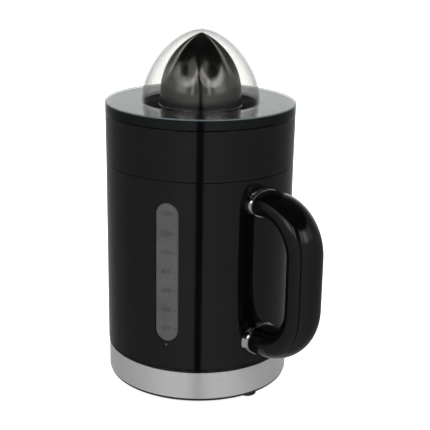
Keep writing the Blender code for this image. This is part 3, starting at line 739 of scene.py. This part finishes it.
def build_coupling():
    """The drive cup on top of the tower, with its hexagon socket."""
    low, high = heights("drive_coupling")
    flange = (131.0, 133.5)
    outline = [(0.0, low, 0), (3.6, low, 0.4), (3.6, flange[0], 0), (12.5, flange[0], 0.4),
               (12.5, flange[1], 0.4), (8.0, flange[1], 0.8), (8.0, high, 0.9), (0.0, high, 0)]
    cup = lathe("drive_cup", outline, "coupling", "nylon", ("drive_coupling",), 96)
    hexagon = [polar(4.6, 10.0 + 60.0 * i) for i in range(6)]
    carve(cup, prism_mesh(hexagon, 136.0, high + 2.0))


def build_spring():
    """The return spring round the coupling's stem, which shortens as the cone is pressed; this coil keeps
    one length.
    """
    low, high = heights("return_spring")
    coil_r, wire_r, turns, steps, sides = 6.9, 0.45, 4, 40, 12
    rings = []
    for i in range(turns * steps + 1):
        a = 2 * math.pi * i / steps
        z = low + wire_r + (high - low - 2 * wire_r) * i / (turns * steps)
        rings.append([((coil_r + u) * math.cos(a), (coil_r + u) * math.sin(a), z + v)
                      for u, v in ellipse(wire_r, wire_r, sides)])
    spring = place("return_spring_coil", sweep_mesh(rings), "output", "zinc", ("return_spring",),
                   weighted=False)
    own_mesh(spring)


# ---------------------------------------------------------------- jug
def jug_radius(z):
    share = (z - JUG_Z[0]) / (JUG_Z[1] - JUG_Z[0])
    return JUG_R_LOW + share * (JUG_R_TOP - JUG_R_LOW)


WINDOW_HALF = 9.5
WINDOW_Z = (53.7, 167.3)


def build_jug_shell():
    """Outer wall, floor and the central sleeve that drops over the motor tower."""
    bottom, top = JUG_Z
    wall, floor_top, sleeve_r, sleeve_top, thick = 2.4, 47.0, 34.0, 172.0, 2.2
    floor_low = floor_top - thick
    low_in, top_in = JUG_R_LOW - wall, JUG_R_TOP - wall
    outline = [(JUG_R_LOW, bottom, 0.5), (JUG_R_TOP, top, 0.45), (top_in, top, 0.5),
               (low_in, floor_top, 2.5), (sleeve_r, floor_top, 2.5), (sleeve_r, sleeve_top, 0.8),
               (sleeve_r - thick, sleeve_top, 0.8), (sleeve_r - thick, floor_low, 1.5),
               (low_in - GAP, floor_low, 1.0), (low_in - GAP, bottom, 0.4)]
    shell = lathe("jug_shell", outline, "jug", "gloss_black", ("jug_body",), 192)
    frame_at = radial_matrix(WINDOW_AZIMUTH)
    cutters = prism_mesh(stadium(WINDOW_HALF, *WINDOW_Z, 24), *THROUGH_WALL, frame_at)
    for z in SCREW_Z:
        prism_mesh(ellipse(SCREW_HOLE_R, SCREW_HOLE_R, 32), *THROUGH_WALL, radial_matrix(0.0, z), cutters)
    carve(shell, cutters)
    round_wall_normals(shell)


def bent(u, v, r):
    """A point on the window's cylinder: u round it, v up, r from the body's axis."""
    a = math.radians(WINDOW_AZIMUTH) + u / r
    return r * math.cos(a), r * math.sin(a), v


def slot_grid(half_width, low, high, columns, rows):
    """Rows of (u, v) points that fill a slot outline from its lower tip to its upper tip."""
    grid = []
    for i in range(rows + 1):
        share = i / rows
        v = low + (high - low) * (0.5 - 0.5 * math.cos(math.pi * share))
        reach = half_width
        for centre, outside in ((low + half_width, v < low + half_width),
                                (high - half_width, v > high - half_width)):
            if outside:
                reach = math.sqrt(max(0.0, half_width ** 2 - (v - centre) ** 2))
        grid.append([(reach * (2 * k / columns - 1), v) for k in range(columns + 1)])
    return grid


def bent_slab(grid, inner, outer, crown):
    """A curved plate over a slot grid, its outer face eased down by crown at the edges."""
    bm = bmesh.new()
    columns = len(grid[0]) - 1
    faces = {}
    for side, radius in (("in", inner), ("out", outer)):
        faces[side] = []
        for i, row in enumerate(grid):
            line = []
            for k, (u, v) in enumerate(row):
                edge = min(i, len(grid) - 1 - i, k, columns - k)
                ease = crown if side == "out" and edge == 0 else 0.0
                line.append(bm.verts.new(bent(u, v, radius - ease)))
            faces[side].append(line)
    for side, flip in (("in", True), ("out", False)):
        rows = faces[side]
        for lower, upper in zip(rows, rows[1:]):
            for k in range(columns):
                corners = [lower[k], lower[k + 1], upper[k + 1], upper[k]]
                bm.faces.new(list(reversed(corners)) if flip else corners)
    inside, outside = faces["in"], faces["out"]
    rim_in = [row[0] for row in inside] + inside[-1][1:] + [row[-1] for row in inside[-2::-1]]
    rim_in += inside[0][-2:0:-1]
    rim_out = [row[0] for row in outside] + outside[-1][1:] + [row[-1] for row in outside[-2::-1]]
    rim_out += outside[0][-2:0:-1]
    count = len(rim_in)
    for i in range(count):
        k = (i + 1) % count
        bm.faces.new((rim_in[i], rim_out[i], rim_out[k], rim_in[k]))
    return bm


def glyph_mesh(text, size, at_u, at_v, radius, height):
    """Raised numerals wrapped round the window."""
    curve = bpy.data.curves.new("numeral", 'FONT')
    curve.body = text
    curve.size = size
    curve.extrude = height / 2
    curve.align_x = 'CENTER'
    curve.align_y = 'CENTER'
    curve.resolution_u = 3
    holder = bpy.data.objects.new("numeral", curve)
    bpy.context.scene.collection.objects.link(holder)
    bpy.context.view_layer.update()
    mesh = bpy.data.meshes.new_from_object(holder)
    bm = bmesh.new()
    bm.from_mesh(mesh)
    bmesh.ops.remove_doubles(bm, verts=bm.verts, dist=0.0005)
    for vert in bm.verts:
        vert.co = bent(at_u + vert.co.x, at_v + vert.co.y, radius + vert.co.z)
    bpy.data.objects.remove(holder)
    bpy.data.curves.remove(curve)
    bpy.data.meshes.remove(mesh)
    return bm


def merge(target, other):
    """Add one bmesh's solids to another."""
    mesh = bpy.data.meshes.new("merge")
    other.to_mesh(mesh)
    other.free()
    target.from_mesh(mesh)
    bpy.data.meshes.remove(mesh)
    return target


def build_window():
    """The frosted level window with raised marks and numerals."""
    face_r = 75.35
    low, high = WINDOW_Z[0] + GAP, WINDOW_Z[1] - GAP
    plate = bent_slab(slot_grid(WINDOW_HALF - 0.25, low, high, 16, 60), 73.2, face_r, 0.35)
    flange = bent_slab(slot_grid(WINDOW_HALF + 2.4, low - 2.4, high + 2.4, 16, 60), 71.3, 73.0, 0.0)
    place("window_pane", merge(plate, flange), "jug", "window_smoke", ("level_window",), 40.0)
    marks = bmesh.new()
    count, first, pitch = 7, 64.7, 15.6
    for i in range(count):
        z = first + pitch * i
        merge(marks, glyph_mesh(str(200 * (i + 1)), 5.4, -0.9, z, face_r + 0.12, 0.5))
        tick = [(5.3, z - 0.35), (7.9, z - 0.35), (7.9, z + 0.35), (5.3, z + 0.35)]
        ends = [[bent(u, v, r) for u, v in tick] for r in (face_r - 0.1, face_r + 0.3)]
        merge(marks, sweep_mesh(ends))
    place("window_marks", marks, "jug", "window_smoke", (), 30.0, False)
    # The pip takes the window's lighter grey, a painted highlight that shows it as a light dot on the black
    # wall.
    pip = [(0.0, 0.0, 0), (0.9, 0.0, 0), (0.8, 0.45, 0.25), (0.0, 0.6, 0)]
    z = WINDOW_Z[0] - 2.6
    on_wall = radial_matrix(WINDOW_AZIMUTH, z) @ Matrix.Translation((0.0, 0.0, jug_radius(z) - 0.1))
    place("window_pip", turned_mesh(pip, on_wall, 24), "jug", "window_smoke")


def handle_path(steps=26, grip_steps=8):
    """The handle's middle line as (radius, height, direction), from its lower to its upper end."""
    rise = [math.radians(angle) for angle in LIMB_RISE]
    centre_r = [HANDLE_R - bend for bend in BEND_R]
    start_r = centre_r[0] + BEND_R[0] * math.sin(rise[0])
    low_z = LIMB_Z[0] + (start_r - GRIP_END_R) * math.tan(rise[0]) + BEND_R[0] * math.cos(rise[0])
    end_r = centre_r[1] - BEND_R[1] * math.sin(rise[1])
    high_z = LIMB_Z[1] + (end_r - GRIP_END_R) * math.tan(rise[1]) - BEND_R[1] * math.cos(rise[1])
    path = [(GRIP_END_R, LIMB_Z[0], 0.0), (GRIP_END_R + 0.7, LIMB_Z[0] + 0.05, 0.0)]
    for i in range(steps + 1):
        a = rise[0] + (math.pi / 2 - rise[0]) * i / steps
        path.append((centre_r[0] + BEND_R[0] * math.sin(a), low_z - BEND_R[0] * math.cos(a), a))
    for i in range(1, grip_steps):
        path.append((HANDLE_R, low_z + (high_z - low_z) * i / grip_steps, math.pi / 2))
    for i in range(steps + 1):
        a = math.pi / 2 + (math.pi / 2 + rise[1]) * i / steps
        path.append((centre_r[1] + BEND_R[1] * math.sin(a), high_z - BEND_R[1] * math.cos(a), a))
    path.append((GRIP_END_R + 0.7, LIMB_Z[1] + 0.1, math.pi))
    path.append((GRIP_END_R, LIMB_Z[1], math.pi))
    return path


def build_handle():
    """A thick oval tube bent to a D, whose depth changes towards its eased ends."""
    sides = 72
    path = handle_path()
    runs = [math.dist(a[:2], b[:2]) for a, b in zip(path, path[1:])]
    length = sum(runs)
    rings = []
    for index, (r, z, a) in enumerate(path):
        share = sum(runs[:index]) / length
        depth = HANDLE_DEPTH + (LIMB_DEPTH[0] - HANDLE_DEPTH) * smooth(1 - share / TAPER)
        depth += (LIMB_DEPTH[1] - HANDLE_DEPTH) * smooth(1 - (1 - share) / TAPER)
        ease = 0.97 if index in (0, len(path) - 1) else 1.0
        rings.append([(r + off * math.sin(a), across, z - off * math.cos(a))
                      for off, across in ellipse(depth * ease, HANDLE_WIDTH * ease, sides)])
    grip = place("handle_grip", sweep_mesh(rings), "jug", "gloss_black", ("handle",), 50.0)
    holes = bmesh.new()
    for z in SCREW_Z:
        prism_mesh(ellipse(SCREW_HOLE_R, SCREW_HOLE_R, 24), 70.0, 96.0, radial_matrix(0.0, z), holes)
    carve(grip, holes)
    grip.data.materials[0] = GRIP_FINISH


def build_rings():
    """Chrome collars between the jug's wall and the handle's ends, flared towards the wall."""
    outer = GRIP_END_R - GAP
    flare = 2.2
    bead = outer - 0.9
    for end, limb_z, depth, screw_z in zip(ENDS, LIMB_Z, LIMB_DEPTH, SCREW_Z):
        frame_at = radial_matrix(0.0, limb_z)
        levels = [(70.0, flare), (74.0, flare), (bead, 0.1), (bead + 0.1, -0.05), (bead + 0.25, 0.15),
                  (bead + 0.5, 0.2), (bead + 0.75, 0.1), (outer, -0.3)]
        rings = []
        for reach, more in levels:
            outline = ellipse(HANDLE_WIDTH + RING_MORE + more, depth + RING_MORE + more, 96)
            rings.append([(x, y, reach) for x, y in outline])
        bm = sweep_mesh(rings)
        bmesh.ops.transform(bm, matrix=frame_at, verts=bm.verts)
        ring = place(f"{end}_chrome_ring", bm, "jug", "ring_chrome", (f"{end}_handle_ring",), 40.0)
        wall = [(0.0, JUG_Z[0]), (jug_radius(JUG_Z[0]) + GAP, JUG_Z[0]),
                (jug_radius(JUG_Z[1]) + GAP, JUG_Z[1]), (0.0, JUG_Z[1])]
        carve(ring, lathe_mesh(wall, 192))
        screw_at = radial_matrix(0.0, screw_z)
        bore, seal_r, low, high = 2.4, 4.4, 71.4, 72.7
        carve(ring, prism_mesh(ellipse(bore, bore, 32), *THROUGH_WALL, screw_at))
        seal = [(bore, low, 0.3), (seal_r, low, 0.4), (seal_r, high, 0.4), (bore, high, 0.3)]
        place(f"{end}_seal_ring", turned_mesh(seal, screw_at, 48), "jug", "rubber", (f"{end}_handle_seal",))
        build_screw(f"{end}_handle_screw", "jug", 4.0, 2.0, 2.0, 26.0,
                    screw_at @ Matrix.Translation((0.0, 0.0, 69.0)))


# ---------------------------------------------------------------- juicing head
def build_collector():
    """The ring between jug and lid: its floor slopes out to six drains over the jug."""
    low, high = JUG_Z[1] + GAP, COLLECTOR_TOP
    inner = COLLECTOR_R - COLLECTOR_WALL
    ledge_r, ledge_low, ledge_top = 71.6, 216.2, 218.4
    tube_in, tube_r, tube_low, tube_top = 17.6, 20.0, 190.0, 210.0
    skirt_in, skirt_r, skirt_low = 70.6, 73.0, 178.0
    drain_r, floor_low, floor_top = 64.0, 190.8, 193.0
    outline = [(JUG_R_TOP, low, 0.4), (COLLECTOR_R, high, 1.0), (inner, high, 0.5),
               (inner - 0.05, ledge_top, 0.2), (ledge_r, ledge_top, 0.3), (ledge_r, ledge_low, 0.3),
               (inner - 0.1, 214.4, 0.3), (inner - 0.3, 194.0, 2.0), (drain_r, floor_top, 1.0),
               (tube_r, 199.0, 2.0), (tube_r, tube_top, 0.6), (tube_in, tube_top, 0.6),
               (tube_in, tube_low, 0.5), (tube_r, tube_low, 0.5), (tube_r, 196.8, 1.0),
               (drain_r, floor_low, 1.0), (skirt_in, floor_low, 0.5), (skirt_in, skirt_low, 0.5),
               (skirt_r, skirt_low, 0.5), (skirt_r, low, 0.3)]
    shell = lathe("collector_shell", outline, "collector", "gloss_black", ("collector",), 192)
    drains = bmesh.new()
    for i in range(6):
        turn = Matrix.Rotation(math.radians(60.0 * i + 30.0), 4, 'Z')
        corners = rounded([(52.0, -9.0, 2.5), (60.0, -9.0, 2.5), (60.0, 9.0, 2.5), (52.0, 9.0, 2.5)])
        prism_mesh(corners, 185.0, 197.0, turn, drains)
    carve(shell, drains)
    round_wall_normals(shell)


def build_strainer():
    """The sieve: a raised middle under the cone and a slotted channel round it."""
    floor_z, deck = 208.2, 33.0
    seat_r = COLLECTOR_R - COLLECTOR_WALL - 0.4
    rim_r = LID_R - SKIRT_WALL - GAP
    rim_top = LID_TOP - LID_PLATE - GAP
    outline = [(seat_r, 218.8, 0.3), (seat_r, LID_BOTTOM, 0.1), (rim_r, LID_BOTTOM, 0.2),
               (rim_r, rim_top, 0.5), (72.2, rim_top, 0.8), (72.2, 221.5, 1.0), (70.0, 219.5, 1.0),
               (68.6, floor_z, 2.5), (deck + 3.0, floor_z, 2.5), (deck, 224.4, 1.8), (10.4, 226.2, 0.6),
               (10.4, 196.0, 0.5), (13.0, 196.0, 0.6), (13.0, 223.9, 1.5), (deck - 2.0, 222.3, 1.5),
               (deck + 1.2, floor_z - 2.0, 2.0), (70.4, floor_z - 2.0, 2.0), (71.2, 218.8, 0.3)]
    sieve = lathe("strainer_sieve", outline, "strainer", "satin_black", ("strainer",))
    slots = bmesh.new()
    count = 60
    for i in range(count):
        turn = Matrix.Rotation(2 * math.pi * (i + 0.5) / count, 4, 'Z')
        inner, outer = (41.0, 65.0) if i % 2 else (47.0, 65.0)
        half = 0.75
        slot = [(inner, -half), (outer, -half), (outer, half), (inner, half)]
        prism_mesh(slot, 204.0, 211.0, turn, slots)
    carve(sieve, slots)
    bore, bush_r, low, high = 4.7, 10.0, 199.0, 228.8
    bush = [(bore, low, 0.5), (bush_r, low, 0.8), (bush_r, high, 0.8), (bore, high, 0.5)]
    lathe("thrust_sleeve", bush, "thrust_bush", "nylon", ("thrust_bush",), 96)


CONE_RIBS = 8
CONE_POWERS = (2.688, 1.27)
DOME_POWERS = (1.744, 1.779)


def build_cone():
    """Pressed steel cone: a smooth skirt, and flutes that run up from the middle to the tip."""
    low, top = CONE_Z
    height = top - low
    wall, flutes_from, flute_depth = 0.9, 0.30, 0.11
    outer = bell_points(CONE_R, low, height, *CONE_POWERS, 64)
    inner = bell_points(CONE_R - wall, low, height - wall * 1.5, *CONE_POWERS, 40)
    rim = [(CONE_R + 0.1 + 0.6 * math.sin(math.radians(a)), low + 0.6 + 0.6 * math.cos(math.radians(a)))
           for a in (20, 50, 80, 110, 140, 170)]
    outline = outer[:0:-1] + rim + inner
    bm = lathe_mesh(outline, 256, closed=False)
    for vert in bm.verts:
        share = (vert.co.z - low) / height
        rise = smooth((share - flutes_from) / 0.34)
        angle = math.atan2(vert.co.y, vert.co.x)
        valley = 0.5 - 0.5 * math.cos(CONE_RIBS * angle)
        vert.co.xy *= 1 - flute_depth * rise * valley ** 0.75
    place("cone_skin", bm, "cone", "cone_steel", ("cone_shell",), 60.0)


def build_lid():
    """Clear lid: a flat plate with a skirt and a tall dome, all one thin moulding."""
    plate = LID_PLATE
    skirt_r = LID_R - SKIRT_WALL
    dome_r, fillet, corner = 47.35, 2.2, 0.8
    height = TOP_Z - LID_TOP
    outside = bell_points(dome_r, LID_TOP, height, *DOME_POWERS, 56)
    inside = bell_points(dome_r - plate, LID_TOP - plate, height, *DOME_POWERS, 56)
    outside = [p for p in outside if p[1] > LID_TOP + fillet]
    foot = []
    first = outside[0]
    for i in range(7):
        a = math.pi / 2 * i / 6
        foot.append((first[0] + fillet * (1 - math.sin(a)), LID_TOP + fillet * (1 - math.cos(a))))
    plate_edge = rounded([(dome_r - plate + 0.01, LID_TOP - plate, 0), (skirt_r, LID_TOP - plate, 0.4),
                          (skirt_r, LID_BOTTOM, 0.3), (LID_R, LID_BOTTOM, 0.5), (LID_R, LID_TOP, corner),
                          (dome_r + 6, LID_TOP, 0)])
    outline = inside[:0:-1] + plate_edge + foot + outside[1:]
    lid = place("lid_dome", lathe_mesh(outline, 192, closed=False), "lid", "lid_clear", ("lid",), 40.0)
    lid.data.materials.append(LID_SKIRT_PAINTED_SHADE)
    lid.data.materials.append(LID_CORNER_PAINTED_HIGHLIGHT)
    for face in lid.data.polygons:
        middle = face.center / MM
        # Corner faces take the lighter matt colour: a painted highlight along the lid's edge.
        if middle.xy.length > LID_R - corner and middle.z > LID_TOP - corner:
            face.material_index = 2
        # Skirt faces take the darker tint: painted shade under the lid's plate.
        elif middle.xy.length > skirt_r - 0.2 and middle.z < LID_TOP - 0.4:
            face.material_index = 1


# ---------------------------------------------------------------- inner works, and the studio
FLOOR_GLOW = 0.86


def paint_cad_nodes():
    """Every CAD node takes its slot's finish, for those that no piece stands for."""
    slots = {item["node"]: item["material_slot"] for item in frame["record"]["subparts"]}
    for name, node in frame["nodes"].items():
        node.data.materials.clear()
        node.data.materials.append(FINISH[slots[name]])


def build_floor():
    """A pale floor that glows a little, as a lit cyclorama does."""
    half = 9000.0
    bm = prism_mesh([(-half, -half), (half, -half), (half, half), (-half, half)], -20.0, 0.0)
    floor = place("floor", bm, None, None, weighted=False)
    kit = paint("floor_white")
    kit.colour(kit.noise(3.0), (0.86, 0.86, 0.86), (0.88, 0.88, 0.88))
    kit.set({"Roughness": 0.9, "Specular IOR Level": 0.1, "Emission Color": WHITE,
             "Emission Strength": FLOOR_GLOW})
    floor.data.materials.append(kit.owner)
    floor.visible_glossy = False


def build_lamps():
    """Three very soft lamps from above, which only light matt surfaces."""
    for name, azimuth, elevation, power in (("key", -95.0, 62.0, 1.1), ("fill", 20.0, 62.0, 1.1),
                                            ("back", 140.0, 60.0, 1.0)):
        data = bpy.data.lights.new(name, 'SUN')
        data.angle = math.radians(70.0)
        data.energy = power
        lamp = bpy.data.objects.new(name, data)
        x, y = polar(math.cos(math.radians(elevation)), azimuth)
        away = Vector((x, y, math.sin(math.radians(elevation))))
        lamp.rotation_euler = away.to_track_quat('Z', 'Y').to_euler()
        lamp.visible_glossy = False
        bpy.context.scene.collection.objects.link(lamp)


def level_ramp(kit, share, stops):
    """Brightness by direction: stops are (degrees away from the camera's side, level)."""
    return kit.ramp(share, [(degrees / 180.0, (level, level, level)) for degrees, level in stops])


def blend_levels(kit, height, span, below, above):
    """Pass from one surround to the next over a span of elevations in degrees."""
    low, high = [math.sin(math.radians(elevation)) for elevation in span]
    weight = kit.add("ShaderNodeMapRange", {"Value": height, "From Min": low, "From Max": high},
                     interpolation_type='SMOOTHSTEP')
    mix = kit.add("ShaderNodeMix", {"Factor": weight.outputs["Result"], "A": below, "B": above},
                  data_type='RGBA')
    return mix.outputs["Result"]


# Brightness of the surround at each elevation.
NEAR_FLOOR = ((0.0, 0.02), (3.2, 0.03), (5.5, 0.34), (14.0, 0.37), (30.0, 0.32), (60.0, 0.26),
              (95.0, 0.19), (125.0, 0.18), (150.0, 0.25), (180.0, 0.38))
EYE_LEVEL = ((0.0, 0.02), (3.2, 0.03), (5.5, 0.34), (14.0, 0.37), (30.0, 0.34), (60.0, 0.30),
             (95.0, 0.22), (125.0, 0.25), (150.0, 0.75), (165.0, 1.06), (180.0, 1.1))
SOFTBOXES = ((0.0, 0.02), (13.0, 0.03), (16.0, 2.2), (20.0, 2.2), (23.0, 0.2), (28.0, 0.7), (34.0, 1.9),
             (45.0, 1.9), (60.0, 0.6), (76.0, 0.6), (95.0, 0.2), (130.0, 0.15), (180.0, 0.2))
OVERHEAD = ((0.0, 0.02), (120.0, 0.02), (150.0, 0.04), (180.0, 0.05))


def build_world():
    """A surround with dark gaps, softboxes beside the camera and a bright wall behind the object."""
    world = bpy.data.worlds.new("studio")
    bpy.context.scene.world = world
    kit = NodeKit(world)
    where = kit.add("ShaderNodeTexCoord").outputs["Generated"]
    rotation = (0.0, 0.0, math.radians(-CAMERA_AZIMUTH))
    turned = kit.add("ShaderNodeMapping", {"Vector": where, "Rotation": rotation}, vector_type='POINT')
    x, y, height = kit.split(turned.outputs["Vector"])
    share = kit.math('DIVIDE', kit.math('ABSOLUTE', kit.math('ARCTAN2', y, x)), math.pi)
    level = level_ramp(kit, share, NEAR_FLOOR)
    for span, stops in (((-6.0, 2.0), EYE_LEVEL), ((16.0, 24.0), SOFTBOXES), ((36.0, 44.0), OVERHEAD)):
        level = blend_levels(kit, height, span, level, level_ramp(kit, share, stops))
    background = kit.nodes["Background"]
    kit.join(level, background.inputs["Color"])
    plain = kit.add("ShaderNodeBackground", {"Color": WHITE})
    seen = kit.add("ShaderNodeLightPath").outputs["Is Camera Ray"]
    mix = kit.add("ShaderNodeMixShader", {"Fac": seen, 1: background.outputs["Background"],
                                          2: plain.outputs["Background"]})
    kit.join(mix.outputs["Shader"], kit.nodes["World Output"].inputs["Surface"])
    bpy.context.scene.view_settings.view_transform = 'Standard'


def main():
    build_camera()
    paint_cad_nodes()
    build_housing()
    build_band()
    build_cover()
    build_feet()
    build_base_screws()
    build_gland()
    build_coupling()
    build_spring()
    build_jug_shell()
    build_window()
    build_handle()
    build_rings()
    build_collector()
    build_strainer()
    build_cone()
    build_lid()
    build_floor()
    build_lamps()
    build_world()


main()
